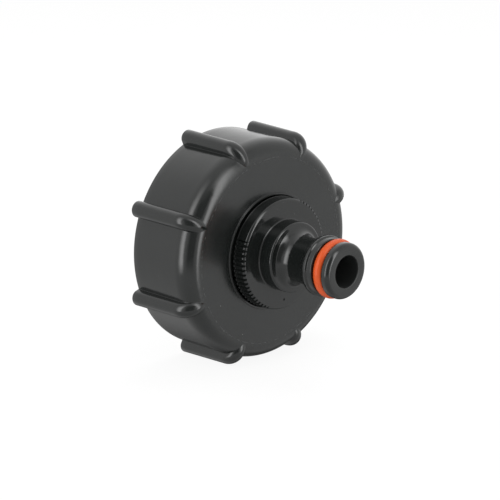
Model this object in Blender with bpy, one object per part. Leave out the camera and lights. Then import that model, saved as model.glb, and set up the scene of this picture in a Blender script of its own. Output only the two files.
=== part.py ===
# IBC tap adapter: a ribbed screw cap for the tank's outlet with a hose tap connector on it.
# Metres, +Z up, the axis level, the nose towards -Y, as the adapter hangs on a tank.
# A station is a distance along the axis from the cap's back rim towards the nose.
import bpy
import bmesh
from math import atan2, ceil, cos, pi, radians, sin, sqrt
from mathutils import Vector

# Running clearance between pieces
GAP = 0.0003

# Cap: outside
BODY_R = 0.0343
DRAFT = 0.0005
FACE = 0.0238
SHOULDER_LENGTH = 0.0063
SHOULDER_WIDTH = 0.0049
SHOULDER_FULL = 2.35
RIM_ROUND = 0.0004
WALL = 0.0041
WEB = 0.0030
WALL_R = BODY_R - DRAFT

# Cap: grip ribs
RIBS = 8
RIB_PHASE = pi / RIBS
RIB_R = 0.0024
RIB_BACK_HEIGHT = 0.00335
RIB_FRONT_HEIGHT = 0.0029
RIB_END = 78.0
RIB_STEPS = 4
BETWEEN_STEPS = 6
SHOULDER_STEPS = 6

# Tap connector: knurled skirt
TOOTH_TIP_R = 0.0169
TOOTH_DEPTH = 0.00045
TEETH = 72
KNURL_HEIGHT = 0.0043
KNURL_CHAMFER = 0.0009
KNURL_SLOPE = 1.0
KNURL_ZONES = 2
KNURL_TURN = radians(68)
SKIRT_HEIGHT = 0.0122
SKIRT_STEP = 0.0005
SKIRT_CHAMFER = 0.0005
TOOTH_ROOT_R = TOOTH_TIP_R - TOOTH_DEPTH
SKIRT_R = TOOTH_TIP_R - SKIRT_STEP
KNURL_FACE_R = TOOTH_TIP_R - KNURL_CHAMFER

# Cap: collar and well around the skirt
COLLAR_WALL = 0.0007
COLLAR_HEIGHT = 0.0003
COLLAR_ROUND = 0.0003
WELL_DEPTH = 0.0074
WELL_WALL = 0.0026
WELL_CHAMFER = 0.0002
PLAIN_STEPS = 64
STUB_STEPS = 48
WELL_R = TOOTH_TIP_R + GAP
WELL_FLOOR = FACE - WELL_DEPTH
HUB_R = WELL_R + WELL_WALL
HUB_BACK = WELL_FLOOR - WELL_WALL
COLLAR_R = WELL_R + COLLAR_WALL

# Cap: hidden stub for the tap connector, a G 3/4 thread left plain here
STUB_R = 0.0129
STUB_WALL = 0.0044
STUB_LENGTH = 0.0078
STUB_CHAMFER = 0.0005
STUB_BORE_R = STUB_R - STUB_WALL
STUB_END = WELL_FLOOR + STUB_LENGTH

# Gasket between the hub and the socket's wall, on the inside of the cap's face
GASKET_THICK = 0.0030
GASKET_EASE_IN = 0.0012
GASKET_EASE_OUT = 0.0006
SOCKET_R = BODY_R - WALL
GASKET_IN_R = HUB_R + GASKET_EASE_IN
GASKET_OUT_R = SOCKET_R - GASKET_EASE_OUT
GASKET_FRONT = FACE - WEB - GAP
GASKET_BACK = GASKET_FRONT - GASKET_THICK

# Cap: coarse thread for the tank's outlet, 60 mm with 6 mm pitch, up to the gasket
SOCKET_CHAMFER = 0.0010
THREAD_HEIGHT = 0.0025
THREAD_PITCH = 0.006
THREAD_CREST = 0.0011
THREAD_STEEP = 0.00045
THREAD_SLOPE = 0.0021
THREAD_FIRST = 0.0036
THREAD_RELIEF = 0.0009
THREAD_STEPS = 48
THREAD_SINK = 0.0004
THREAD_TURNS = (GASKET_BACK - THREAD_RELIEF - THREAD_FIRST) / THREAD_PITCH

# Washer on the stub's end
WASHER_THICK = 0.0020
WASHER_EASE = 0.0004
STUB_EASE = 0.0004
CAVITY_R = STUB_R + STUB_EASE
WASHER_BACK = STUB_END + GAP
WASHER_FRONT = WASHER_BACK + WASHER_THICK
WASHER_IN_R = STUB_BORE_R + WASHER_EASE
WASHER_OUT_R = CAVITY_R - WASHER_EASE

# Tap connector: inside
BORE_R = 0.00475
BORE_CHAMFER = 0.0003
FUNNEL_STEP = 0.0005
FUNNEL_LENGTH = 0.0051
CAVITY_FLOOR = WASHER_FRONT + GAP
FUNNEL_R = STUB_BORE_R - FUNNEL_STEP
FUNNEL_END = CAVITY_FLOOR + FUNNEL_LENGTH

# Ring in the groove
RING_SECTION_R = 0.00135
RING_HALF_WIDTH = 0.0015
RING_STEPS = 40
RING_SECTION_STEPS = 10

# Tap connector: walls round the bore
NECK_WALL = 0.0022
GROOVE_WALL = 0.0010
NOSE_WALL = 0.0035
FLARE_RISE = 0.0024
BOSS_LEDGE = 0.0013
CATCH_RISE = 0.0007
LAND_RISE = 0.00025
NOSE_EDGE = 0.0012
NECK_R = BORE_R + NECK_WALL
GROOVE_R = BORE_R + GROOVE_WALL
NOSE_R = BORE_R + NOSE_WALL
FLARE_R = NECK_R + FLARE_RISE
BOSS_R = FLARE_R + BOSS_LEDGE
CATCH_R = NOSE_R + CATCH_RISE
LAND_R = NOSE_R + LAND_RISE
NOSE_EDGE_R = NOSE_R - NOSE_EDGE

# Tap connector: boss, flare, neck, catch ring, groove and nose, one after another
BOSS_HEIGHT = 0.0048
BOSS_ROUND = 0.0006
FLARE_LENGTH = 0.0040
NECK_LENGTH = 0.0041
CATCH_RAMP = 0.0025
CATCH_WIDTH = 0.0013
CATCH_DROP = 0.0003
LAND_WIDTH = 0.0020
NOSE_LENGTH = 0.0025
NOSE_ROUND = 0.0013
NOSE_STEPS = 48
SKIRT_FOOT = WELL_FLOOR + GAP
SKIRT_FACE = SKIRT_FOOT + SKIRT_HEIGHT
KNURL_FOOT = SKIRT_FACE - KNURL_HEIGHT
BOSS_FRONT = SKIRT_FACE + BOSS_HEIGHT
NECK_START = BOSS_FRONT + FLARE_LENGTH
NECK_END = NECK_START + NECK_LENGTH
CATCH_START = NECK_END + CATCH_RAMP
CATCH_END = CATCH_START + CATCH_WIDTH
GROOVE_START = CATCH_END + LAND_WIDTH
GROOVE_END = GROOVE_START + 2 * (RING_HALF_WIDTH + GAP)
LENGTH = GROOVE_END + NOSE_LENGTH

BLACK_PLASTIC = (0.016, 0.016, 0.017, 1.0)
BLACK_RUBBER = (0.022, 0.022, 0.023, 1.0)
ORANGE_RUBBER = (0.86, 0.12, 0.018, 1.0)


def place(station, radius, angle):
    # Angle 0 is up and a quarter turn is towards +X
    return Vector((radius * sin(angle), LENGTH / 2 - station, AXIS_HEIGHT + radius * cos(angle)))


def around(count):
    return [2 * pi * i / count for i in range(count)]


def even_ring(station, radius, count=PLAIN_STEPS):
    return [(station, radius, angle) for angle in around(count)]


def turned(outline, count):
    return [even_ring(station, radius, count) for station, radius in outline]


def unwound(loop, start, first_angle):
    # The loop's corners from one starting corner, once round, with angles that only grow
    corners = []
    last = first_angle - pi
    for i in range(len(loop) + 1):
        corner, angle = loop[(start + i) % len(loop)]
        angle += 2 * pi * ceil((last - angle) / (2 * pi))
        if i and angle <= last:
            angle += 2 * pi
        corners.append((corner, angle))
        last = angle
    return corners


def stitch(mesh, first, second):
    # Joins two rings of different counts with one band of triangles
    near = [abs(sin((angle - first[0][1]) / 2)) for corner, angle in second]
    a = unwound(first, 0, first[0][1])
    b = unwound(second, near.index(min(near)), first[0][1])
    i = j = 0
    while i < len(first) or j < len(second):
        if j == len(second) or (i < len(first) and a[i + 1][1] <= b[j + 1][1]):
            mesh.faces.new((a[i][0], a[i + 1][0], b[j][0]))
            i += 1
        else:
            mesh.faces.new((a[i][0], b[j + 1][0], b[j][0]))
            j += 1


def band(mesh, first, second):
    if len(first) != len(second):
        stitch(mesh, first, second)
        return
    count = len(first)
    for i in range(count):
        k = (i + 1) % count
        mesh.faces.new((first[i][0], first[k][0], second[k][0], second[i][0]))


def new_loop(mesh, ring):
    return [(mesh.verts.new(place(*point)), point[2] % (2 * pi)) for point in ring]


def closed_skin(rings):
    # One closed body through all the rings, the last joined to the first
    mesh = bmesh.new()
    loops = [new_loop(mesh, ring) for ring in rings]
    for i, loop in enumerate(loops):
        band(mesh, loop, loops[(i + 1) % len(loops)])
    bmesh.ops.recalc_face_normals(mesh, faces=mesh.faces[:])
    return mesh


def finish_object(name, mesh, material, pivot, sharp=35.0):
    bmesh.ops.translate(mesh, verts=mesh.verts[:], vec=-pivot)
    data = bpy.data.meshes.new(name)
    mesh.to_mesh(data)
    mesh.free()
    part = bpy.data.objects.new(name, data)
    part.location = pivot
    bpy.context.scene.collection.objects.link(part)
    data.materials.append(material)
    data.shade_smooth()
    data.set_sharp_from_angle(angle=radians(sharp))
    return part


def plain_material(name, colour, roughness):
    material = bpy.data.materials.new(name)
    material.use_nodes = True
    shader = material.node_tree.nodes["Principled BSDF"]
    shader.inputs["Base Color"].default_value = colour
    shader.inputs["Roughness"].default_value = roughness
    shader.inputs["Metallic"].default_value = 0.0
    return material


def rib_section(height):
    # Offset to the side and lift of the points across a half-round rib that stands this high
    sunk = max(RIB_R - height, 0.0)
    side = sqrt(RIB_R ** 2 - sunk ** 2)
    points = []
    for i in range(-RIB_STEPS, RIB_STEPS + 1):
        across = side * sin(pi / 2 * i / RIB_STEPS)
        lift = height - RIB_R + sqrt(max(RIB_R ** 2 - across ** 2, 0.0))
        points.append((across, 0.0 if abs(i) == RIB_STEPS else lift))
    return points


def ribbed_ring(station, radius, slope, height):
    # The ribs stand up along the wall's normal, which leans forward by the slope
    ring = []
    section = rib_section(height)
    half = section[-1][0] / radius
    for k in range(RIBS):
        centre = RIB_PHASE + 2 * pi * k / RIBS
        for across, lift in section:
            ring.append((station + lift * sin(slope), radius + lift * cos(slope), centre + across / radius))
        bay = 2 * pi / RIBS - 2 * half
        for i in range(1, BETWEEN_STEPS):
            ring.append((station, radius, centre + half + bay * i / BETWEEN_STEPS))
    return ring


def shoulder_point(turn):
    # Station, radius and lean of the shoulder's surface, a full quarter ellipse from wall to face
    share = 2 / SHOULDER_FULL
    along, inward = sin(turn), cos(turn)
    station = FACE - SHOULDER_LENGTH * (1 - along ** share)
    radius = WALL_R - SHOULDER_WIDTH * (1 - inward ** share)
    lean = atan2(SHOULDER_WIDTH * along ** (2 - share), SHOULDER_LENGTH * inward ** (2 - share))
    return station, radius, lean


def shoulder_ring(turn):
    # The ribs follow the rounded shoulder and run out just before the face
    station, radius, slope = shoulder_point(radians(turn))
    if turn == 90.0:
        flat = ribbed_ring(station, radius, slope, RIB_R * 0.03)
        return [(FACE, r, angle) for s, r, angle in flat]
    return ribbed_ring(station, radius, slope, RIB_FRONT_HEIGHT * cos(radians(turn) * 90.0 / RIB_END))


def back_ring():
    return ribbed_ring(RIM_ROUND, BODY_R, 0.0, RIB_BACK_HEIGHT)


def cap_outside():
    rings = [ribbed_ring(0.0, BODY_R - RIM_ROUND, 0.0, RIB_BACK_HEIGHT + RIM_ROUND / 2)]
    rings.append(back_ring())
    for i in range(SHOULDER_STEPS + 1):
        rings.append(shoulder_ring(90.0 * i / SHOULDER_STEPS))
    return rings


def cap_inside():
    edge = FACE + COLLAR_HEIGHT
    collar = [
        (FACE, COLLAR_R), (edge, COLLAR_R - COLLAR_ROUND),
        (edge, WELL_R + WELL_CHAMFER), (edge - WELL_CHAMFER, WELL_R), (WELL_FLOOR, WELL_R)]
    stub = [
        (WELL_FLOOR, STUB_R), (STUB_END - STUB_CHAMFER, STUB_R),
        (STUB_END, STUB_R - STUB_CHAMFER), (STUB_END, STUB_BORE_R),
        (HUB_BACK, STUB_BORE_R), (HUB_BACK, HUB_R - STUB_CHAMFER),
        (HUB_BACK + STUB_CHAMFER, HUB_R), (FACE - WEB, HUB_R)]
    socket = [
        (FACE - WEB, SOCKET_R), (SOCKET_CHAMFER, SOCKET_R),
        (0.0, SOCKET_R + SOCKET_CHAMFER * 0.8)]
    return turned(collar, PLAIN_STEPS) + turned(stub, STUB_STEPS) + turned(socket, PLAIN_STEPS)


def thread_section(turn):
    # The ridge grows out of the wall over the first and last tenth of a turn
    fade = min(1.0, turn / 0.12, (THREAD_TURNS - turn) / 0.12)
    fade = max(fade, 0.02)
    centre = THREAD_FIRST + THREAD_PITCH * turn
    crest_r = SOCKET_R - THREAD_HEIGHT * fade
    half = THREAD_CREST / 2
    steep = THREAD_STEEP * fade
    slope = THREAD_SLOPE * fade
    outer = SOCKET_R + THREAD_SINK
    return [(centre - half, crest_r), (centre + half, crest_r),
            (centre + half + steep, SOCKET_R), (centre + half + steep, outer),
            (centre - half - slope, outer), (centre - half - slope, SOCKET_R)]


def socket_thread():
    # Right-handed, so the angle falls as the station grows
    mesh = bmesh.new()
    steps = ceil(THREAD_TURNS * THREAD_STEPS)
    rows = []
    for i in range(steps + 1):
        turn = THREAD_TURNS * i / steps
        rows.append(new_loop(mesh, [(s, r, -2 * pi * turn) for s, r in thread_section(turn)]))
    for first, second in zip(rows, rows[1:]):
        band(mesh, first, second)
    for row in (rows[0], rows[-1]):
        mesh.faces.new([corner for corner, angle in row])
    bmesh.ops.recalc_face_normals(mesh, faces=mesh.faces[:])
    return mesh


def join_cutter(part, cutter, operation):
    cutter.hide_render = True
    cutter.display_type = "WIRE"
    step = part.modifiers.new(cutter.name, "BOOLEAN")
    step.operation = operation
    step.solver = "EXACT"
    step.object = cutter


def threaded_cap(material):
    pivot = Vector((0, 0, 0))
    body = closed_skin(cap_outside() + cap_inside())
    part = finish_object("threaded_cap", body, material, pivot)
    ridge = finish_object("cut_socket_thread", socket_thread(), material, pivot)
    join_cutter(part, ridge, "UNION")
    return part


def tooth_ring(tip_station, root_station, tip_r, root_r):
    # Tips and roots take turns in the knurled quarters, and the other quarters are smooth
    ring = []
    for i, angle in enumerate(around(2 * TEETH)):
        tip = i % 2 == 0 or cos(KNURL_ZONES * (angle - KNURL_TURN)) < 0
        ring.append((tip_station if tip else root_station, tip_r if tip else root_r, angle))
    return ring


def connector_skirt():
    depth = TOOTH_TIP_R - KNURL_FACE_R
    root_depth = TOOTH_ROOT_R - KNURL_FACE_R
    tip_drop = depth * KNURL_SLOPE
    root_drop = root_depth * KNURL_SLOPE
    rise = TOOTH_TIP_R - SKIRT_R
    return [
        even_ring(SKIRT_FOOT, SKIRT_R - SKIRT_CHAMFER, TEETH),
        even_ring(SKIRT_FOOT + SKIRT_CHAMFER, SKIRT_R, TEETH),
        even_ring(KNURL_FOOT - rise, SKIRT_R, TEETH),
        tooth_ring(KNURL_FOOT, KNURL_FOOT - rise + (TOOTH_ROOT_R - SKIRT_R), TOOTH_TIP_R, TOOTH_ROOT_R),
        tooth_ring(SKIRT_FACE - tip_drop, SKIRT_FACE - root_drop, TOOTH_TIP_R, TOOTH_ROOT_R),
        even_ring(SKIRT_FACE, KNURL_FACE_R, TEETH)]


def arc(centre, radii, start, end, steps):
    # Stations and radii on a quarter ellipse round a centre, the ends included
    points = []
    for i in range(steps + 1):
        turn = radians(start + (end - start) * i / steps)
        points.append((centre[0] + radii[0] * cos(turn), centre[1] + radii[1] * sin(turn)))
    return points


def connector_nose():
    rounding = arc((BOSS_FRONT - BOSS_ROUND, BOSS_R - BOSS_ROUND), (BOSS_ROUND, BOSS_ROUND), 90, 0, 3)
    flare = arc((NECK_START, FLARE_R), (NECK_START - BOSS_FRONT, FLARE_R - NECK_R), 180, 270, 4)
    tip = arc((LENGTH - NOSE_ROUND, NOSE_EDGE_R), (NOSE_ROUND, NOSE_R - NOSE_EDGE_R), 90, 0, 4)
    outline = [(SKIRT_FACE, BOSS_R)] + rounding + flare
    outline += [
        (NECK_END, NECK_R), (CATCH_START, CATCH_R), (CATCH_END, CATCH_R),
        (CATCH_END + CATCH_DROP, LAND_R), (GROOVE_START, LAND_R), (GROOVE_START, GROOVE_R),
        (GROOVE_END, GROOVE_R), (GROOVE_END, NOSE_R)]
    outline += tip + [(LENGTH, BORE_R + BORE_CHAMFER), (LENGTH - BORE_CHAMFER, BORE_R)]
    return turned(outline, NOSE_STEPS)


def connector_inside():
    outline = [
        (FUNNEL_END, BORE_R), (CAVITY_FLOOR, FUNNEL_R), (CAVITY_FLOOR, CAVITY_R),
        (SKIRT_FOOT + SKIRT_CHAMFER, CAVITY_R), (SKIRT_FOOT, CAVITY_R + SKIRT_CHAMFER)]
    return turned(outline, NOSE_STEPS)


def tap_connector(material):
    rings = connector_skirt() + connector_nose() + connector_inside()
    return finish_object("tap_connector", closed_skin(rings), material, place(SKIRT_FOOT, 0, 0))


def flat_ring(name, material, front, back, in_r, out_r, steps):
    outline = [(back, in_r), (back, out_r), (front, out_r), (front, in_r)]
    mesh = closed_skin(turned(outline, steps))
    return finish_object(name, mesh, material, place(back, 0, 0))


def o_ring(material):
    centre = (GROOVE_START + GROOVE_END) / 2
    middle = GROOVE_R + GAP + RING_SECTION_R
    outline = []
    for turn in around(RING_SECTION_STEPS):
        outline.append((centre + RING_HALF_WIDTH * cos(turn), middle + RING_SECTION_R * sin(turn)))
    mesh = closed_skin(turned(outline, RING_STEPS))
    return finish_object("o_ring", mesh, material, place(centre, 0, 0), 80.0)


def build():
    for old in list(bpy.data.objects):
        bpy.data.objects.remove(old, do_unlink=True)
    cap_plastic = plain_material("cap_plastic", BLACK_PLASTIC, 0.28)
    connector_plastic = plain_material("connector_plastic", BLACK_PLASTIC, 0.25)
    gasket_rubber = plain_material("gasket_rubber", BLACK_RUBBER, 0.6)
    washer_rubber = plain_material("washer_rubber", BLACK_RUBBER, 0.6)
    ring_rubber = plain_material("ring_rubber", ORANGE_RUBBER, 0.4)
    threaded_cap(cap_plastic)
    tap_connector(connector_plastic)
    flat_ring("cap_gasket", gasket_rubber, GASKET_FRONT, GASKET_BACK, GASKET_IN_R, GASKET_OUT_R, 56)
    flat_ring("connector_washer", washer_rubber, WASHER_FRONT, WASHER_BACK, WASHER_IN_R, WASHER_OUT_R, 40)
    o_ring(ring_rubber)


# The adapter rests on the back ends of its two lowest ribs
AXIS_HEIGHT = max(-radius * cos(angle) for station, radius, angle in back_ring())

build()
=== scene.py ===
from math import acos, atan2, ceil, cos, pi, radians, sin, sqrt, tan

import bmesh
import bpy
from mathutils import Euler, Matrix, Vector


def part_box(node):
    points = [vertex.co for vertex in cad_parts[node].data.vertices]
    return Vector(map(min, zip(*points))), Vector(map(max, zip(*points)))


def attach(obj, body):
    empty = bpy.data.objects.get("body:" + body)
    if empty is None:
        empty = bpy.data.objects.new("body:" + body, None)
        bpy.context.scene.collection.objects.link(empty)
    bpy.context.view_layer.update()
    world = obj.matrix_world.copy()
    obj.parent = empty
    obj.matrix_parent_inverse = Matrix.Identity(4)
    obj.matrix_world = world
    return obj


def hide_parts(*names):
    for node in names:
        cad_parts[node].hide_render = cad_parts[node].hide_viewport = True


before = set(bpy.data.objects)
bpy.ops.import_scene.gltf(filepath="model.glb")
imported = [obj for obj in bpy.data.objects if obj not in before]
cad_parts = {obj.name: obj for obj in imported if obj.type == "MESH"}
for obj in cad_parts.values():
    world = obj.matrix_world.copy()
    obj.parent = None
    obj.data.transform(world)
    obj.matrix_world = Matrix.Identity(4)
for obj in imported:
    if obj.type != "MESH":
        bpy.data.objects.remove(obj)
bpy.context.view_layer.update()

# Sizes in metres; a station is a distance along the axis from the cap's back rim towards the nose
cap_low, cap_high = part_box("threaded_cap")
AXIS_HEIGHT = (cap_low[2] + cap_high[2]) / 2
GAP = 0.0003

# Cap: outside
BODY_R = 0.0343
DRAFT = 0.0005
FACE = 0.0238
SHOULDER_LENGTH = 0.0063
SHOULDER_WIDTH = 0.0049
SHOULDER_FULL = 2.35
SHOULDER_STEPS = 32
BACK_ROUND = 0.0004
BACK_STEPS = 4
WALL = 0.0041
WALL_STEPS = 8
WEB = 0.0030
WALL_R = BODY_R - DRAFT
CREASE_R = WALL_R - SHOULDER_WIDTH
SOCKET_R = BODY_R - WALL

# Cap: grip ribs
RIBS = 8
RIB_PHASE = pi / RIBS
RIB_R = 0.0024
RIB_BACK_HEIGHT = 0.00335
RIB_FRONT_HEIGHT = 0.0029
RIB_END_HEIGHT = 0.00003
RIB_FADE = 1.5
RIB_FILLET = 0.00008
RIB_STEPS = 10
FILLET_STEPS = 5
BETWEEN_STEPS = 34

# Tap connector: knurled skirt, whose tooth gaps get deeper on the rounded front edge
TOOTH_TIP_R = 0.0169
TOOTH_DEPTH = 0.00045
TOOTH_FRONT_DEPTH = 0.00078
TEETH = 72
TOOTH_FLANK = ((0.10, 0.0), (0.17, 0.10), (0.27, 0.80), (0.33, 0.97), (0.42, 1.0))
KNURL_HEIGHT = 0.0043
KNURL_ROUND = 0.0009
KNURL_SOFT = 0.00005
KNURL_MARGIN = 0.0002
KNURL_ZONES = 2
KNURL_TURN = radians(68)
KNURL_EDGE_STEPS = 9
FOOT_LINE = 0.00009
FOOT_LINE_WIDTH = 0.00028
FOOT_LINE_SHARES = (0.2, 0.35, 0.5, 0.65, 0.8, 1.0)
SKIRT_HEIGHT = 0.0122
SKIRT_STEP = 0.0005
SKIRT_BEVEL = ((0.0, 0.0005), (0.0004, 0.0001), (0.0006, 0.0))
TOOTH_ROOT_R = TOOTH_TIP_R - TOOTH_DEPTH
TOOTH_FRONT_ROOT_R = TOOTH_TIP_R - TOOTH_FRONT_DEPTH
SKIRT_R = TOOTH_TIP_R - SKIRT_STEP
KNURL_FACE_R = TOOTH_TIP_R - KNURL_ROUND

# Cap: face, collar and well round the skirt, with plain rings that keep the face's shading flat
FACE_MARGIN = 0.0006
FACE_RINGS = (0.0262, 0.0236, 0.0210)
COLLAR_MARGIN = 0.0013
COLLAR_WALL = 0.0007
COLLAR_HEIGHT = 0.0003
COLLAR_LEAN = 0.0001
COLLAR_ROUND = 0.0001
EDGE_GUARD = 0.00003
WELL_DEPTH = 0.0074
WELL_WALL = 0.0026
WELL_ROUND = 0.0003
WELL_R = TOOTH_TIP_R + GAP
WELL_FLOOR = FACE - WELL_DEPTH
COLLAR_R = WELL_R + COLLAR_WALL

# Cap: hidden stub, hub, socket and back rim
STUB_R = 0.0129
STUB_WALL = 0.0044
STUB_LENGTH = 0.0078
STUB_MARGIN = 0.0006
STUB_ROUND = 0.0005
STUB_BORE_ROUND = 0.0003
HUB_BORE_ROUND = 0.0004
HUB_ROUND = 0.0008
HUB_FOOT_ROUND = 0.0006
SOCKET_ROUND = 0.0007
MOUTH_DEPTH = 0.0010
MOUTH_WIDTH = 0.0008
MOUTH_ROUND = 0.0006
RIM_ROUND = 0.0003
RIM_MIDDLE_R = 0.0326
CAP_STEPS = 256
STUB_BORE_R = STUB_R - STUB_WALL
STUB_END = WELL_FLOOR + STUB_LENGTH
HUB_R = WELL_R + WELL_WALL
HUB_BACK = WELL_FLOOR - WELL_WALL

# Cap: coarse thread for the tank's outlet
THREAD_HEIGHT = 0.0025
THREAD_PITCH = 0.006
THREAD_CREST = 0.0011
THREAD_STEEP = 0.00045
THREAD_SLOPE = 0.0021
THREAD_FIRST = 0.0036
THREAD_TURNS = 2.1667
THREAD_RUN_OUT = 0.12
THREAD_LEAST = 0.02
THREAD_ROUND = 0.00035
THREAD_SLOPE_ROUND = 1.6
THREAD_SINK = 0.0004
THREAD_STEPS = 360

# Gasket between the hub and the socket's wall, and washer on the stub's end
GASKET_THICK = 0.0030
GASKET_EASE_IN = 0.0012
GASKET_EASE_OUT = 0.0006
GASKET_ROUND = 0.0003
GASKET_STEPS = 160
GASKET_IN_R = HUB_R + GASKET_EASE_IN
GASKET_OUT_R = SOCKET_R - GASKET_EASE_OUT
GASKET_FRONT = FACE - WEB - GAP
GASKET_BACK = GASKET_FRONT - GASKET_THICK
WASHER_THICK = 0.0020
WASHER_EASE = 0.0004
WASHER_ROUND = 0.00025
WASHER_STEPS = 120
STUB_EASE = 0.0004
BACK_STEP = 0.0002
CAVITY_R = STUB_R + STUB_EASE
WASHER_BACK = STUB_END + GAP
WASHER_FRONT = WASHER_BACK + WASHER_THICK
WASHER_IN_R = STUB_BORE_R + WASHER_EASE
WASHER_OUT_R = CAVITY_R - WASHER_EASE

# Sealing ring in the groove
RING_SECTION_R = 0.00135
RING_HALF_WIDTH = 0.0015
RING_STEPS = 200
RING_SECTION_STEPS = 40

# Tap connector: bore, funnel and cavity
BORE_R = 0.00475
BORE_MARGIN = 0.0003
BORE_ROUND = 0.0003
FUNNEL_STEP = 0.0005
FUNNEL_LENGTH = 0.0051
FUNNEL_ROUND = 0.001
FUNNEL_EDGE_ROUND = 0.0002
CAVITY_ROUND = 0.0003
CAVITY_CHAMFER = 0.0005
CAVITY_FLOOR = WASHER_FRONT + GAP
FUNNEL_R = STUB_BORE_R - FUNNEL_STEP
FUNNEL_END = CAVITY_FLOOR + FUNNEL_LENGTH

# Tap connector: walls round the bore
NECK_WALL = 0.0022
GROOVE_WALL = 0.0010
NOSE_WALL = 0.0035
FLARE_RISE = 0.0024
BOSS_LEDGE = 0.0013
CATCH_RISE = 0.0007
LAND_RISE = 0.00025
NOSE_EDGE = 0.0012
NECK_R = BORE_R + NECK_WALL
GROOVE_R = BORE_R + GROOVE_WALL
NOSE_R = BORE_R + NOSE_WALL
FLARE_R = NECK_R + FLARE_RISE
BOSS_R = FLARE_R + BOSS_LEDGE
CATCH_R = NOSE_R + CATCH_RISE
LAND_R = NOSE_R + LAND_RISE
NOSE_EDGE_R = NOSE_R - NOSE_EDGE
RING_R = GROOVE_R + GAP + RING_SECTION_R

# Tap connector: boss, flare, neck, catch ring, groove and nose, one after another
ANNULUS_RINGS = (0.0150, 0.0130)
BOSS_HEIGHT = 0.0048
BOSS_FOOT_ROUND = 0.0004
BOSS_ROUND = 0.0006
FLARE_LENGTH = 0.0040
FLARE_STEPS = 24
NECK_MARGIN = 0.0005
NECK_LENGTH = 0.0041
NECK_ROUND = 0.0008
CATCH_RAMP = 0.0025
CATCH_WIDTH = 0.0013
CATCH_DROP = 0.0003
CATCH_ROUND = 0.0010
CATCH_EDGE_ROUND = 0.0004
LAND_WIDTH = 0.0020
LAND_FOOT_ROUND = 0.0002
LAND_ROUND = 0.00035
GROOVE_ROUND = 0.0003
NOSE_BACK_ROUND = 0.00015
NOSE_LENGTH = 0.0025
NOSE_ROUND = 0.0013
NOSE_MARGIN = 0.0003
TIP_STEPS = 14
CONNECTOR_STEPS = 224
SKIRT_FOOT = WELL_FLOOR + GAP
SKIRT_FACE = SKIRT_FOOT + SKIRT_HEIGHT
KNURL_FOOT = SKIRT_FACE - KNURL_HEIGHT
BOSS_FRONT = SKIRT_FACE + BOSS_HEIGHT
NECK_START = BOSS_FRONT + FLARE_LENGTH
NECK_END = NECK_START + NECK_LENGTH
CATCH_START = NECK_END + CATCH_RAMP
CATCH_END = CATCH_START + CATCH_WIDTH
GROOVE_START = CATCH_END + LAND_WIDTH
GROOVE_END = GROOVE_START + 2 * (RING_HALF_WIDTH + GAP)
LENGTH = GROOVE_END + NOSE_LENGTH

# Gate dimple on the annulus, seam line on the cap's face painted lighter as a highlight, and specks as place
# and radius
GATE = (0.0001, -0.00205, 0.02098)
GATE_R = 0.00045
GATE_FLOOR = 0.55
GATE_DEPTH = 0.0006
GATE_STEPS = 28
SEAM_R = 0.02850
SEAM_WIDTH = 0.00012
# How much lighter the seam line is painted, as a painted highlight along its small step
SEAM_HIGHLIGHT_LEVEL = 0.28
# The speck at the start of the last row sits on the collar and is a painted highlight; the others sit on the
# face
SPECKS_AND_GLINT = (
    (-0.01199, 0.00305, 0.01130, 0.00022), (-0.02105, 0.00305, 0.02203, 0.00020),
    (-0.01717, 0.00255, 0.03734, 0.00022), (-0.00815, 0.00305, 0.06250, 0.00018),
    (-0.01953, 0.00305, 0.01404, 0.00022))

# Edges sharper than these angles, in degrees, are shaded as edges
SHARP = 30.0
SOFT_RING_SHARP = 60.0
SEAL_SHARP = 80.0

# A rounding takes up at most this share of either side of its corner
ARC_REACH = 0.48


def place(station, radius, angle):
    # Angle 0 is up and a quarter turn is towards +X
    return Vector((radius * sin(angle), LENGTH / 2 - station, AXIS_HEIGHT + radius * cos(angle)))


def around(count):
    return [2 * pi * i / count for i in range(count)]


def turned(outline, count):
    return [[(station, radius, angle) for angle in around(count)] for station, radius in outline]


def unwound(loop, start, first_angle):
    # The loop's corners from one starting corner, once round, with angles that only grow
    corners = []
    last = first_angle - pi
    for i in range(len(loop) + 1):
        corner, angle = loop[(start + i) % len(loop)]
        angle += 2 * pi * ceil((last - angle) / (2 * pi))
        if i and angle <= last:
            angle += 2 * pi
        corners.append((corner, angle))
        last = angle
    return corners


def stitch(mesh, first, second):
    # Joins two rings of different counts with one band of triangles
    near = [abs(sin((angle - first[0][1]) / 2)) for _, angle in second]
    a = unwound(first, 0, first[0][1])
    b = unwound(second, near.index(min(near)), first[0][1])
    i = j = 0
    while i < len(first) or j < len(second):
        if j == len(second) or (i < len(first) and a[i + 1][1] <= b[j + 1][1]):
            mesh.faces.new((a[i][0], a[i + 1][0], b[j][0]))
            i += 1
        else:
            mesh.faces.new((a[i][0], b[j + 1][0], b[j][0]))
            j += 1


def band(mesh, first, second):
    if len(first) != len(second):
        stitch(mesh, first, second)
        return
    count = len(first)
    for i in range(count):
        k = (i + 1) % count
        mesh.faces.new((first[i][0], first[k][0], second[k][0], second[i][0]))


def new_loop(mesh, ring):
    return [(mesh.verts.new(place(*point)), point[2] % (2 * pi)) for point in ring]


def closed_skin(rings):
    # One closed body through all the rings, the last joined to the first
    mesh = bmesh.new()
    loops = [new_loop(mesh, ring) for ring in rings]
    for i, loop in enumerate(loops):
        band(mesh, loop, loops[(i + 1) % len(loops)])
    bmesh.ops.recalc_face_normals(mesh, faces=mesh.faces[:])
    return mesh


def arc(centre, radii, start, end, steps):
    # Stations and radii on part of an ellipse round a centre, from start to end in degrees
    points = []
    for i in range(steps + 1):
        turn = radians(start + (end - start) * i / steps)
        points.append((centre[0] + radii[0] * cos(turn), centre[1] + radii[1] * sin(turn)))
    return points


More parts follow.
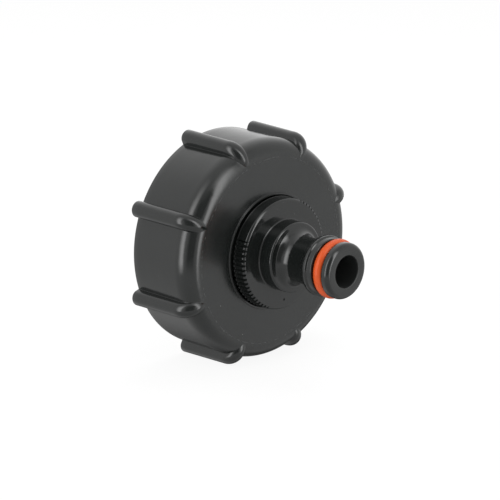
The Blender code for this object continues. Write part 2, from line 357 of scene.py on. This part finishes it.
def rounded(corners, steps, guard=0.0):
    # An outline through corners (station, radius, rounding); guard points keep the flats' shading flat
    points = []
    for i, (station, radius, rounding) in enumerate(corners):
        if rounding == 0 or i in (0, len(corners) - 1):
            points.append((station, radius))
            continue
        here = Vector((station, radius))
        before = Vector(corners[i - 1][:2]) - here
        after = Vector(corners[i + 1][:2]) - here
        back, ahead = before.normalized(), after.normalized()
        half = before.angle(after) / 2
        cut = min(rounding / tan(half), before.length * ARC_REACH, after.length * ARC_REACH)
        reach = cut * tan(half)
        middle = here + (back + ahead).normalized() * (reach / sin(half))
        spoke = here + back * cut - middle
        sweep = spoke.angle_signed(here + ahead * cut - middle)
        if guard and cut + 3 * guard < before.length / 2:
            points.append(tuple(here + back * (cut + guard)))
        for k in range(steps + 1):
            turn = -sweep * k / steps
            points.append((middle.x + spoke.x * cos(turn) - spoke.y * sin(turn),
                           middle.y + spoke.x * sin(turn) + spoke.y * cos(turn)))
        if guard and cut + 3 * guard < after.length / 2:
            points.append(tuple(here + ahead * (cut + guard)))
    return points


def smooth(data, sharp):
    data.shade_smooth()
    data.set_sharp_from_angle(angle=radians(sharp))


def finish_object(name, mesh, sharp=SHARP):
    data = bpy.data.meshes.new(name)
    mesh.to_mesh(data)
    mesh.free()
    piece = bpy.data.objects.new(name, data)
    bpy.context.scene.collection.objects.link(piece)
    smooth(data, sharp)
    return piece


def rib_section(height, inset):
    # Offset to the side and lift of the points across a half-round rib with a fillet at its foot
    bar = RIB_R - inset
    foot = RIB_FILLET + inset
    rise = height - bar
    if rise >= foot:
        lean = pi / 2
        side = bar + foot
    else:
        side = sqrt(max((bar + foot) ** 2 - (foot - rise) ** 2, 0.0))
        lean = atan2(side, foot - rise)
    half = []
    for k in range(FILLET_STEPS + 1):
        turn = lean * k / FILLET_STEPS
        half.append((side - foot * sin(turn), foot - foot * cos(turn)))
    for k in range(RIB_STEPS - 1, -1, -1):
        turn = lean * k / RIB_STEPS
        half.append((bar * sin(turn), rise + bar * cos(turn)))
    return [(-across, lift) for across, lift in half] + half[-2::-1]


def ribbed_ring(station, radius, slope, height, inset=0.0):
    # The ribs stand up along the wall's normal, which leans forward by the slope
    ring = []
    section = rib_section(height, inset)
    half = section[-1][0] / radius
    between = 2 * pi / RIBS - 2 * half
    for k in range(RIBS):
        centre = RIB_PHASE + 2 * pi * k / RIBS
        for across, lift in section:
            ring.append((station + lift * sin(slope), radius + lift * cos(slope), centre + across / radius))
        for i in range(1, BETWEEN_STEPS):
            ring.append((station, radius, centre + half + between * i / BETWEEN_STEPS))
    return ring


def shoulder_ring(k):
    # A full quarter ellipse from wall to face, over which the ribs fade out
    turn = pi / 2 * k / SHOULDER_STEPS
    share = 2 / SHOULDER_FULL
    forward, inward = sin(turn), max(cos(turn), 0.0)
    station = FACE - SHOULDER_LENGTH * (1 - forward ** share)
    radius = WALL_R - SHOULDER_WIDTH * (1 - inward ** share)
    slope = atan2(SHOULDER_WIDTH * forward ** (2 - share), SHOULDER_LENGTH * inward ** (2 - share))
    height = max(RIB_FRONT_HEIGHT * inward ** RIB_FADE, RIB_END_HEIGHT)
    ring = ribbed_ring(station, radius, slope, height)
    if k == SHOULDER_STEPS:
        return [(FACE, last_radius, angle) for _, last_radius, angle in ring]
    return ring


def cap_outside():
    rings = []
    for k in range(BACK_STEPS + 1):
        turn = pi / 2 * k / BACK_STEPS
        station = BACK_ROUND * (1 - cos(turn))
        inset = BACK_ROUND * (1 - sin(turn))
        rings.append(ribbed_ring(station, BODY_R - inset, 0.0, RIB_BACK_HEIGHT, inset))
    wall = FACE - SHOULDER_LENGTH - BACK_ROUND
    for k in range(1, WALL_STEPS):
        share = k / WALL_STEPS
        height = RIB_BACK_HEIGHT + (RIB_FRONT_HEIGHT - RIB_BACK_HEIGHT) * share
        rings.append(ribbed_ring(BACK_ROUND + wall * share, BODY_R - DRAFT * share, 0.0, height))
    return rings + [shoulder_ring(k) for k in range(SHOULDER_STEPS + 1)]


def cap_inside():
    # From the face over the collar into the well, and through stub, hub and socket to the back rim
    edge = FACE + COLLAR_HEIGHT
    inside_face = FACE - WEB
    front = [(FACE, radius) for radius in (CREASE_R - FACE_MARGIN, *FACE_RINGS)]
    collar = rounded([
        (FACE, COLLAR_R + COLLAR_MARGIN, 0),
        (FACE, COLLAR_R, COLLAR_ROUND),
        (edge, COLLAR_R - COLLAR_LEAN, COLLAR_ROUND),
        (edge, WELL_R, COLLAR_ROUND),
        (WELL_FLOOR, WELL_R, WELL_ROUND),
        (WELL_FLOOR, STUB_R + STUB_MARGIN, 0)], steps=5, guard=EDGE_GUARD)
    stub = rounded([
        (WELL_FLOOR, STUB_R, 0),
        (STUB_END, STUB_R, STUB_ROUND),
        (STUB_END, STUB_BORE_R, STUB_BORE_ROUND),
        (HUB_BACK, STUB_BORE_R, HUB_BORE_ROUND),
        (HUB_BACK, HUB_R, HUB_ROUND),
        (inside_face, HUB_R, HUB_FOOT_ROUND),
        (inside_face, SOCKET_R, SOCKET_ROUND),
        (MOUTH_DEPTH, SOCKET_R, MOUTH_ROUND),
        (0.0, SOCKET_R + MOUTH_WIDTH, RIM_ROUND),
        (0.0, RIM_MIDDLE_R, 0)], steps=5)
    return turned(front + collar + stub, CAP_STEPS)


def thread_section(turn):
    # A ridge with rounded edges that grows out of the wall at both ends
    fade = max(min(1.0, turn / THREAD_RUN_OUT, (THREAD_TURNS - turn) / THREAD_RUN_OUT), THREAD_LEAST)
    centre = THREAD_FIRST + THREAD_PITCH * turn
    crest_r = SOCKET_R - THREAD_HEIGHT * fade
    front = centre + THREAD_CREST / 2
    back = centre - THREAD_CREST / 2
    front_foot = front + THREAD_STEEP * fade
    back_foot = back - THREAD_SLOPE * fade
    outer = SOCKET_R + THREAD_SINK
    soft = THREAD_ROUND * fade
    outline = rounded([
        (front_foot, outer, 0),
        (front_foot, SOCKET_R, 0),
        (front, crest_r, soft),
        (back, crest_r, soft * THREAD_SLOPE_ROUND),
        (back_foot, SOCKET_R, 0)], steps=4)
    return outline + [(back_foot, outer)]


def socket_thread():
    # Right-handed, so the angle falls as the station grows
    mesh = bmesh.new()
    rows = []
    for i in range(THREAD_STEPS + 1):
        turn = THREAD_TURNS * i / THREAD_STEPS
        section = thread_section(turn)
        rows.append(new_loop(mesh, [(station, radius, -2 * pi * turn) for station, radius in section]))
    for first, second in zip(rows, rows[1:]):
        band(mesh, first, second)
    for row in (rows[0], rows[-1]):
        mesh.faces.new([corner for corner, _ in row])
    bmesh.ops.recalc_face_normals(mesh, faces=mesh.faces[:])
    return mesh


def apply_boolean(piece, tool, operation):
    step = piece.modifiers.new("join", "BOOLEAN")
    step.operation = operation
    step.solver = "EXACT"
    step.object = tool
    graph = bpy.context.evaluated_depsgraph_get()
    data = bpy.data.meshes.new_from_object(piece.evaluated_get(graph))
    piece.modifiers.clear()
    old = piece.data
    name = old.name
    piece.data = data
    bpy.data.meshes.remove(old)
    data.name = name
    bpy.data.objects.remove(tool)
    smooth(data, SHARP)


def tooth_profile():
    # One tooth of the knurl as shares of its pitch and height, both flanks alike
    other_flank = [(1 - share, rise) for share, rise in reversed(TOOTH_FLANK)]
    return [(0.0, 0.0), *TOOTH_FLANK, (0.5, 1.0), *other_flank]


def knurl(root_r):
    # Angle and radius of every corner round the skirt, which has teeth in two quarters only
    points = []
    profile = tooth_profile()
    for k in range(TEETH):
        toothed = cos(KNURL_ZONES * (2 * pi * k / TEETH - KNURL_TURN)) >= 0
        for share, rise in profile:
            angle = 2 * pi * (k + share - 0.5) / TEETH
            height = (TOOTH_TIP_R - root_r) * (rise if toothed else 1.0)
            points.append((angle % (2 * pi), root_r + height))
    return points


def skirt_edge(share):
    # A ring on the rounded front edge, which the teeth and the gaps between them run into
    ring = []
    for angle, tooth in knurl(TOOTH_FRONT_ROOT_R):
        start = acos(min((tooth - KNURL_FACE_R) / KNURL_ROUND, 1.0))
        turn = start + (pi / 2 - start) * share
        station = SKIRT_FACE - KNURL_ROUND * (1 - sin(turn))
        ring.append((station, KNURL_FACE_R + KNURL_ROUND * cos(turn), angle))
    return ring


def skirt_rings():
    # Bevelled foot, plain skirt, underside of the teeth, the fine line at their foot, and front edge
    teeth = knurl(TOOTH_ROOT_R)
    rings = []
    for rise, inset in SKIRT_BEVEL:
        rings.append([(SKIRT_FOOT + rise, SKIRT_R - inset, angle) for angle, _ in teeth])
    rings.append([(KNURL_FOOT - (tooth - SKIRT_R), SKIRT_R, angle) for angle, tooth in teeth])
    rings.append([(KNURL_FOOT - KNURL_SOFT, tooth - KNURL_SOFT, angle) for angle, tooth in teeth])
    rings.append([(KNURL_FOOT + KNURL_SOFT, tooth, angle) for angle, tooth in teeth])
    for share in FOOT_LINE_SHARES:
        station = KNURL_FOOT + KNURL_SOFT + FOOT_LINE_WIDTH * share
        rise = FOOT_LINE * sin(pi * share)
        rings.append([(station, tooth + rise, angle) for angle, tooth in teeth])
    for k in range(KNURL_EDGE_STEPS + 1):
        rings.append(skirt_edge(k / KNURL_EDGE_STEPS))
    rings.append([(SKIRT_FACE, KNURL_FACE_R - KNURL_MARGIN, angle) for angle, _ in teeth])
    return rings


def nose_rings():
    # From the skirt's face along the boss, flare, neck and nose, and back through the bore
    annulus = [(SKIRT_FACE, radius, 0) for radius in ANNULUS_RINGS]
    boss = rounded(annulus + [
        (SKIRT_FACE, BOSS_R, BOSS_FOOT_ROUND),
        (BOSS_FRONT, BOSS_R, BOSS_ROUND),
        (BOSS_FRONT, FLARE_R, 0)], steps=6)
    flare = arc((NECK_START, FLARE_R), (FLARE_LENGTH, FLARE_RISE), start=180, end=270, steps=FLARE_STEPS)
    shaft = rounded([
        (NECK_START + NECK_MARGIN, NECK_R, 0),
        (NECK_END, NECK_R, NECK_ROUND),
        (CATCH_START, CATCH_R, CATCH_ROUND),
        (CATCH_END, CATCH_R, CATCH_EDGE_ROUND),
        (CATCH_END + CATCH_DROP, LAND_R, LAND_FOOT_ROUND),
        (GROOVE_START, LAND_R, LAND_ROUND),
        (GROOVE_START, GROOVE_R, GROOVE_ROUND),
        (GROOVE_END, GROOVE_R, GROOVE_ROUND),
        (GROOVE_END, NOSE_R, NOSE_BACK_ROUND),
        (LENGTH - NOSE_ROUND - NOSE_MARGIN, NOSE_R, 0)], steps=4)
    tip = arc((LENGTH - NOSE_ROUND, NOSE_EDGE_R), (NOSE_ROUND, NOSE_EDGE), start=90, end=0, steps=TIP_STEPS)
    inside = rounded([
        (LENGTH, NOSE_EDGE_R - BORE_MARGIN, 0),
        (LENGTH, BORE_R, BORE_ROUND),
        (FUNNEL_END, BORE_R, FUNNEL_ROUND),
        (CAVITY_FLOOR, FUNNEL_R, FUNNEL_EDGE_ROUND),
        (CAVITY_FLOOR, CAVITY_R, CAVITY_ROUND),
        (SKIRT_FOOT + CAVITY_CHAMFER, CAVITY_R, 0),
        (SKIRT_FOOT, CAVITY_R + CAVITY_CHAMFER, 0)], steps=5)
    return turned(boss + flare + shaft + tip + inside, CONNECTOR_STEPS)


def gate_mark():
    # The small dimple left by the moulding gate, on the annulus beside the boss
    mesh = bmesh.new()
    bmesh.ops.create_cone(mesh, cap_ends=True, segments=GATE_STEPS, radius1=GATE_R * GATE_FLOOR,
                          radius2=GATE_R, depth=GATE_DEPTH)
    bmesh.ops.rotate(mesh, verts=mesh.verts[:], matrix=Matrix.Rotation(radians(90), 3, "X"))
    bmesh.ops.translate(mesh, verts=mesh.verts[:], vec=GATE)
    return mesh


def soft_ring(name, back, front, in_r, out_r, round_r, count):
    # A flat ring of rubber, whose outline starts and ends in the middle of its back
    middle = (in_r + out_r) / 2
    outline = rounded([
        (back, middle, 0),
        (back, out_r, round_r),
        (front, out_r, round_r),
        (front, in_r, round_r),
        (back, in_r, round_r),
        (back, middle - BACK_STEP, 0)], steps=5)
    return finish_object(name, closed_skin(turned(outline, count)), SOFT_RING_SHARP)


def seal_ring():
    centre = (GROOVE_START + GROOVE_END) / 2
    outline = []
    for turn in around(RING_SECTION_STEPS):
        outline.append((centre + RING_HALF_WIDTH * cos(turn), RING_R + RING_SECTION_R * sin(turn)))
    return finish_object("sealing_ring", closed_skin(turned(outline, RING_STEPS)), SEAL_SHARP)


def dress(piece, node, body):
    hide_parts(node)
    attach(piece, body)


cap = finish_object("ribbed_cap", closed_skin(cap_outside() + cap_inside()))
apply_boolean(cap, finish_object("thread_ridge", socket_thread()), "UNION")
dress(cap, "threaded_cap", "cap")

connector = finish_object("knurled_connector", closed_skin(skirt_rings() + nose_rings()))
apply_boolean(connector, finish_object("gate_tool", gate_mark()), "DIFFERENCE")
dress(connector, "tap_connector", "connector")

gasket = soft_ring("flat_gasket", GASKET_BACK, GASKET_FRONT, GASKET_IN_R, GASKET_OUT_R,
                   GASKET_ROUND, GASKET_STEPS)
dress(gasket, "cap_gasket", "cap")

washer = soft_ring("flat_washer", WASHER_BACK, WASHER_FRONT, WASHER_IN_R, WASHER_OUT_R,
                   WASHER_ROUND, WASHER_STEPS)
dress(washer, "connector_washer", "washer")

ring = seal_ring()
dress(ring, "o_ring", "connector")

# Plastic: colours, roughness that a place adds, and noise scales in cells per metre
PLASTIC_DARK = (0.0082, 0.0098, 0.0092, 1.0)
PLASTIC_LIGHT = (0.0150, 0.0172, 0.0164, 1.0)
PLASTIC_IOR = 1.49
CLOUD_SCALE = 55.0
CLOUD_SHARE = 0.6
GRAIN_SCALE = 1400.0
GRAIN_SHARE = 0.4
GRAIN_BUMP = 0.000006
WAVE_SCALE = 160.0
WAVE_BUMP = 0.00006
DUST_SCALE = 2600.0
DUST_EDGE = (0.80, 0.86)
# Light colour and added roughness of dust, specks, and the painted highlights on the seam and the collar
MARK_AND_GLINT_COLOUR = (0.16, 0.16, 0.16, 1.0)
MARK_AND_GLINT_ROUGH = 0.3
SPECK_AND_GLINT_CORE = 0.4
SEAM_CORE = 0.3
SEAM_BREAK_SCALE = 700.0
SEAM_BREAK_EDGE = (0.50, 0.60)
FACE_ROUGH = 0.09
FACE_ROUGH_FADE = (0.0005, 0.00005)
COLLAR_FADE = (0.7, 0.3)
BORE_ROUGH = 0.45
BORE_ROUGH_FADE = (0.0004, 0.0001)
ROUGH_SPREAD = (0.3, 0.7)
CAP_ROUGH = (0.11, 0.17)
CONNECTOR_ROUGH = (0.07, 0.13)

# Rubber: dark and light colour, and roughness
BLACK_RUBBER = ((0.014, 0.014, 0.014, 1.0), (0.032, 0.032, 0.033, 1.0))
BLACK_RUBBER_ROUGH = (0.5, 0.7)
ORANGE_RUBBER = ((0.78, 0.085, 0.008, 1.0), (0.92, 0.125, 0.014, 1.0))
ORANGE_RUBBER_ROUGH = (0.32, 0.46)
RUBBER_CLOUD_SCALE = 260.0
RUBBER_GRAIN_SCALE = 3200.0
RUBBER_BUMP = 0.00001


class Tree:
    # A node tree, with one short call for each kind of node that the looks are built from
    def __init__(self, owner):
        owner.use_nodes = True
        self.nodes = owner.node_tree.nodes
        self.links = owner.node_tree.links

    def feed(self, socket, value):
        # A number, colour or direction is set on the socket, another node's output is linked to it
        if isinstance(value, (int, float, tuple)):
            socket.default_value = value
        else:
            self.links.new(value, socket)

    def coordinates(self, kind):
        return self.nodes.new("ShaderNodeTexCoord").outputs[kind]

    def noise(self, where, scale, detail, rough=0.5):
        node = self.nodes.new("ShaderNodeTexNoise")
        for key, value in (("Vector", where), ("Scale", scale), ("Detail", detail), ("Roughness", rough)):
            self.feed(node.inputs[key], value)
        return node.outputs["Fac"]

    def spread(self, value, low, high, to_low=0.0, to_high=1.0):
        # Carries the stretch from low to high over to the stretch from to_low to to_high
        node = self.nodes.new("ShaderNodeMapRange")
        ends = (("From Min", low), ("From Max", high), ("To Min", to_low), ("To Max", to_high))
        for key, number in (("Value", value), *ends):
            self.feed(node.inputs[key], number)
        return node.outputs["Result"]

    def combine(self, operation, *values):
        # The first two values are combined, and then the result with each further one
        total, *others = values
        for value in others:
            node = self.nodes.new("ShaderNodeMath")
            node.operation = operation
            self.feed(node.inputs[0], total)
            self.feed(node.inputs[1], value)
            total = node.outputs["Value"]
        return total

    def vector(self, operation, first, second):
        # A number worked out from two directions or places
        node = self.nodes.new("ShaderNodeVectorMath")
        node.operation = operation
        self.feed(node.inputs[0], first)
        self.feed(node.inputs[1], second)
        return node.outputs["Value"]

    def axis_distance(self, where):
        flat = self.nodes.new("ShaderNodeVectorMath")
        flat.operation = "MULTIPLY"
        self.feed(flat.inputs[0], where)
        self.feed(flat.inputs[1], (1.0, 0.0, 1.0))
        return self.vector("DISTANCE", flat.outputs["Vector"], (0.0, 0.0, AXIS_HEIGHT))

    def mix(self, share, first, second, kind="FLOAT"):
        node = self.nodes.new("ShaderNodeMix")
        node.data_type = kind
        for key, value in (("Factor", share), ("A", first), ("B", second)):
            self.feed(node.inputs[key], value)
        return node.outputs["Result"]

    def bump(self, height, distance, normal=None):
        node = self.nodes.new("ShaderNodeBump")
        self.feed(node.inputs["Distance"], distance)
        self.feed(node.inputs["Height"], height)
        if normal is not None:
            self.feed(node.inputs["Normal"], normal)
        return node.outputs["Normal"]


def cap_marks_and_glints(tree, where):
    # Bright specks and the broken line round the face along the mould's seam, with painted highlights among
    # them
    specks_and_glint = []
    # One speck, on the collar, is a painted highlight; the others are specks on the face
    for x, y, z, radius in SPECKS_AND_GLINT:
        distance = tree.vector("DISTANCE", where, (x, y, z))
        specks_and_glint.append(tree.spread(distance, radius, radius * SPECK_AND_GLINT_CORE))
    # The seam's line is painted lighter, a painted highlight along its small step
    offset = tree.combine("SUBTRACT", tree.axis_distance(where), SEAM_R)
    away = tree.combine("MAXIMUM", offset, tree.combine("MULTIPLY", offset, -1.0))
    line = tree.spread(away, SEAM_WIDTH, SEAM_WIDTH * SEAM_CORE)
    broken = tree.spread(tree.noise(where, SEAM_BREAK_SCALE, detail=2.0), *SEAM_BREAK_EDGE)
    seam_highlight = tree.combine("MULTIPLY", line, broken, SEAM_HIGHLIGHT_LEVEL)
    return tree.combine("MAXIMUM", *specks_and_glint, seam_highlight)


def cap_matt(tree, where):
    # The flat face is a little more matt than the wall, the shoulder and the collar
    depth = tree.vector("DOT_PRODUCT", where, (0.0, 1.0, 0.0))
    face = LENGTH / 2 - FACE
    far, near = FACE_ROUGH_FADE
    on_face = tree.spread(depth, face + far, face + near, 0.0, FACE_ROUGH)
    top, foot = COLLAR_FADE
    off_collar = tree.spread(depth, face - COLLAR_HEIGHT * top, face - COLLAR_HEIGHT * foot)
    return tree.combine("MULTIPLY", on_face, off_collar)


def bore_matt(tree, where):
    far, near = BORE_ROUGH_FADE
    return tree.spread(tree.axis_distance(where), BORE_R + far, BORE_R + near, 0.0, BORE_ROUGH)


def moulded_plastic(name, rough, matt, marks_and_glints=None):
    # Cloudy black plastic with fine grain and dust, and a piece's own matt places and marks, the cap's with
    # painted highlights
    material = bpy.data.materials.new(name)
    tree = Tree(material)
    shader = tree.nodes["Principled BSDF"]
    where = tree.coordinates("Object")
    grain = tree.noise(where, GRAIN_SCALE, detail=3.0, rough=0.6)
    cloud = tree.combine("MULTIPLY", tree.noise(where, CLOUD_SCALE, detail=3.0), CLOUD_SHARE)
    share = tree.combine("ADD", cloud, tree.combine("MULTIPLY", grain, GRAIN_SHARE))
    mark_and_glint = tree.spread(tree.noise(where, DUST_SCALE, detail=1.0), *DUST_EDGE)
    if marks_and_glints:
        mark_and_glint = tree.combine("MAXIMUM", mark_and_glint, marks_and_glints(tree, where))
    base = tree.mix(share, PLASTIC_DARK, PLASTIC_LIGHT, "RGBA")
    # Dust, marks and painted highlights are mixed in as one lighter colour
    tree.feed(shader.inputs["Base Color"], tree.mix(mark_and_glint, base, MARK_AND_GLINT_COLOUR, "RGBA"))
    plain = tree.spread(share, *ROUGH_SPREAD, *rough)
    rough_marks_and_glints = tree.combine("MULTIPLY", mark_and_glint, MARK_AND_GLINT_ROUGH)
    tree.feed(shader.inputs["Roughness"], tree.combine("ADD", plain, matt(tree, where), rough_marks_and_glints))
    waves = tree.bump(tree.noise(where, WAVE_SCALE, detail=2.0), WAVE_BUMP)
    tree.feed(shader.inputs["Normal"], tree.bump(grain, GRAIN_BUMP, waves))
    shader.inputs["IOR"].default_value = PLASTIC_IOR
    return material


def rubber(name, colours, rough):
    material = bpy.data.materials.new(name)
    tree = Tree(material)
    shader = tree.nodes["Principled BSDF"]
    where = tree.coordinates("Object")
    cloud = tree.noise(where, RUBBER_CLOUD_SCALE, detail=4.0, rough=0.6)
    grain = tree.noise(where, RUBBER_GRAIN_SCALE, detail=2.0)
    tree.feed(shader.inputs["Base Color"], tree.mix(cloud, *colours, "RGBA"))
    tree.feed(shader.inputs["Roughness"], tree.spread(grain, *ROUGH_SPREAD, *rough))
    tree.feed(shader.inputs["Normal"], tree.bump(grain, RUBBER_BUMP))
    return material


def paint(piece, material):
    piece.data.materials.clear()
    piece.data.materials.append(material)


paint(cap, moulded_plastic("cap_plastic_look", CAP_ROUGH, cap_matt, cap_marks_and_glints))
paint(connector, moulded_plastic("connector_plastic_look", CONNECTOR_ROUGH, bore_matt))
paint(gasket, rubber("flat_gasket_look", BLACK_RUBBER, BLACK_RUBBER_ROUGH))
paint(washer, rubber("flat_washer_look", BLACK_RUBBER, BLACK_RUBBER_ROUGH))
paint(ring, rubber("ring_look", ORANGE_RUBBER, ORANGE_RUBBER_ROUGH))

# The room that gloss sees, as brightness below and above, and two patches round a direction
UPWARD = (0.0, 0.0, 1.0)
ROOM_BELOW = 0.66
ROOM_ABOVE = 1.09
REAR = (0.38, 0.66, 0.64)
REAR_EDGE = (0.72, 0.97)
REAR_LEVEL = 1.3
SHADE = (0.65, 0.41, -0.64)
SHADE_EDGE = (0.72, 0.93)
SHADE_LEVEL = 0.15

# Panels with soft edges, given by three directions and the reach of their sides, foot and head
PANEL_FRONT = 0.2
DARK_ZONE = {
    "centre": (-0.652, -0.699, 0.292), "across": (0.731, -0.682, 0.0), "upright": UPWARD,
    "sides": (-0.62, -0.36, 0.36, 0.62), "bottom": (-0.34, -0.16), "top": (0.62, 0.97)}
DARK_ZONE_LEVEL = 0.28
LEFT_STRIP = {
    "centre": (-0.963, 0.235, 0.135), "across": (0.227, 0.971, -0.079), "upright": (0.150, 0.045, 0.988),
    "sides": (-0.24, -0.08, 0.07, 0.30), "bottom": (-0.48, -0.34), "top": (0.36, 0.86)}
LEFT_STRIP_LEVEL = 5.0
RIGHT_STRIP = {
    "centre": (0.181, -0.959, 0.218), "across": (0.880, 0.257, 0.399), "upright": (-0.439, 0.120, 0.890),
    "sides": (-0.19, -0.07, 0.09, 0.26), "bottom": (-0.58, -0.46), "top": (0.50, 0.95)}
RIGHT_STRIP_LEVEL = 5.3

# Room light on matt surfaces, floor, and the height that the lamps are aimed at
PLAIN_LEVEL = 0.52
FLOOR_SIZE = 3.0
FLOOR_CELLS = 8
FLOOR_COLOUR = (0.82, 0.82, 0.82, 1.0)
FLOOR_GLOW = 1.13
FLOOR_GLOW_SHARE = 0.8
LAMP_AIM = 0.035

# Camera: its place from the back rim's centre, its angles and swing round the axis in degrees
PHOTO_PIXELS = 500.0
FOCAL_PIXELS = 1300.0
SENSOR_WIDTH = 36.0
CAMERA_SIDE = -0.26376
CAMERA_AHEAD = 0.28962
CAMERA_ABOVE = 0.10683
CAMERA_TILT = 74.12
CAMERA_TURN = -43.73
CAMERA_SWING = -1.4


def soft_panel(tree, direction, centre, across, upright, sides, bottom, top):
    # One inside a panel seen in a direction from the object, nothing outside it
    width = tree.vector("DOT_PRODUCT", direction, across)
    height = tree.vector("DOT_PRODUCT", direction, upright)
    outer_left, inner_left, inner_right, outer_right = sides
    return tree.combine(
        "MULTIPLY",
        tree.spread(width, outer_left, inner_left),
        tree.spread(width, outer_right, inner_right),
        tree.spread(height, bottom[0], bottom[1]),
        tree.spread(height, top[1], top[0]),
        tree.spread(tree.vector("DOT_PRODUCT", direction, centre), 0.0, PANEL_FRONT))


def studio_level(tree, direction):
    # A white room over a pale table, two leaning strip lights, and a dark zone between them
    level = tree.spread(tree.vector("DOT_PRODUCT", direction, UPWARD), -1.0, 0.0, ROOM_BELOW, ROOM_ABOVE)
    for axis, edge, patch_level in ((REAR, REAR_EDGE, REAR_LEVEL), (SHADE, SHADE_EDGE, SHADE_LEVEL)):
        patch = tree.spread(tree.vector("DOT_PRODUCT", direction, axis), *edge)
        level = tree.mix(patch, level, patch_level)
    panels = ((DARK_ZONE, DARK_ZONE_LEVEL), (LEFT_STRIP, LEFT_STRIP_LEVEL), (RIGHT_STRIP, RIGHT_STRIP_LEVEL))
    for panel, panel_level in panels:
        level = tree.mix(soft_panel(tree, direction, **panel), level, panel_level)
    return level


def ray_kinds(tree):
    # Whether the camera sees a surface itself, or sees it in or through another
    path = tree.nodes.new("ShaderNodeLightPath").outputs
    return path["Is Camera Ray"], tree.combine("MAXIMUM", path["Is Glossy Ray"], path["Is Transmission Ray"])


def make_world():
    world = bpy.data.worlds.new("studio")
    bpy.context.scene.world = world
    tree = Tree(world)
    camera_ray, gloss_ray = ray_kinds(tree)
    gloss = tree.combine("MULTIPLY", studio_level(tree, tree.coordinates("Generated")), gloss_ray)
    plain = tree.combine("MULTIPLY", tree.combine("SUBTRACT", 1.0, gloss_ray), PLAIN_LEVEL)
    strength = tree.combine("MAXIMUM", camera_ray, tree.combine("ADD", gloss, plain))
    background = tree.nodes["Background"]
    background.inputs["Color"].default_value = (1.0, 1.0, 1.0, 1.0)
    tree.feed(background.inputs["Strength"], strength)


def make_floor():
    mesh = bmesh.new()
    bmesh.ops.create_grid(mesh, x_segments=FLOOR_CELLS, y_segments=FLOOR_CELLS, size=FLOOR_SIZE)
    floor = finish_object("floor", mesh)
    material = bpy.data.materials.new("pale_floor")
    tree = Tree(material)
    tree.nodes.remove(tree.nodes["Principled BSDF"])
    matt = tree.nodes.new("ShaderNodeBsdfDiffuse")
    matt.inputs["Color"].default_value = FLOOR_COLOUR
    glow = tree.nodes.new("ShaderNodeEmission")
    glow.inputs["Strength"].default_value = FLOOR_GLOW
    seen = tree.combine("MAXIMUM", *ray_kinds(tree))
    mix = tree.nodes.new("ShaderNodeMixShader")
    tree.feed(mix.inputs["Fac"], tree.combine("MULTIPLY", seen, FLOOR_GLOW_SHARE))
    tree.feed(mix.inputs[1], matt.outputs["BSDF"])
    tree.feed(mix.inputs[2], glow.outputs["Emission"])
    tree.feed(tree.nodes["Material Output"].inputs["Surface"], mix.outputs["Shader"])
    paint(floor, material)
    floor.visible_glossy = False


def soft_box(name, azimuth, elevation, distance, size, level):
    # A lamp aimed at the object; the azimuth counts from the front towards +X
    a, e = radians(azimuth), radians(elevation)
    direction = Vector((sin(a) * cos(e), -cos(a) * cos(e), sin(e)))
    data = bpy.data.lights.new(name, "AREA")
    data.shape = "RECTANGLE"
    data.size, data.size_y = size
    data.energy = level * pi * size[0] * size[1]
    lamp = bpy.data.objects.new(name, data)
    lamp.location = Vector((0, 0, LAMP_AIM)) + direction * distance
    lamp.rotation_euler = direction.to_track_quat("Z", "Y").to_euler()
    lamp.visible_glossy = False
    bpy.context.scene.collection.objects.link(lamp)


def make_camera():
    data = bpy.data.cameras.new("camera")
    data.sensor_width = SENSOR_WIDTH
    data.lens = FOCAL_PIXELS / PHOTO_PIXELS * SENSOR_WIDTH
    camera = bpy.data.objects.new("camera", data)
    pose = Matrix.Translation((CAMERA_SIDE, LENGTH / 2 - CAMERA_AHEAD, CAMERA_ABOVE))
    pose = pose @ Euler((radians(CAMERA_TILT), 0.0, radians(CAMERA_TURN))).to_matrix().to_4x4()
    pose = Matrix.Rotation(radians(CAMERA_SWING), 4, "Y") @ pose
    camera.matrix_world = Matrix.Translation((0.0, 0.0, AXIS_HEIGHT)) @ pose
    bpy.context.scene.collection.objects.link(camera)
    bpy.context.scene.camera = camera


make_world()
make_floor()
soft_box("left_box", azimuth=-100, elevation=8, distance=0.9, size=(0.34, 0.55), level=4.2)
soft_box("right_box", azimuth=17, elevation=8, distance=0.9, size=(0.34, 0.55), level=3.2)
soft_box("top_box", azimuth=100, elevation=68, distance=1.0, size=(0.7, 0.7), level=1.4)
make_camera()
bpy.context.scene.view_settings.view_transform = "Standard"
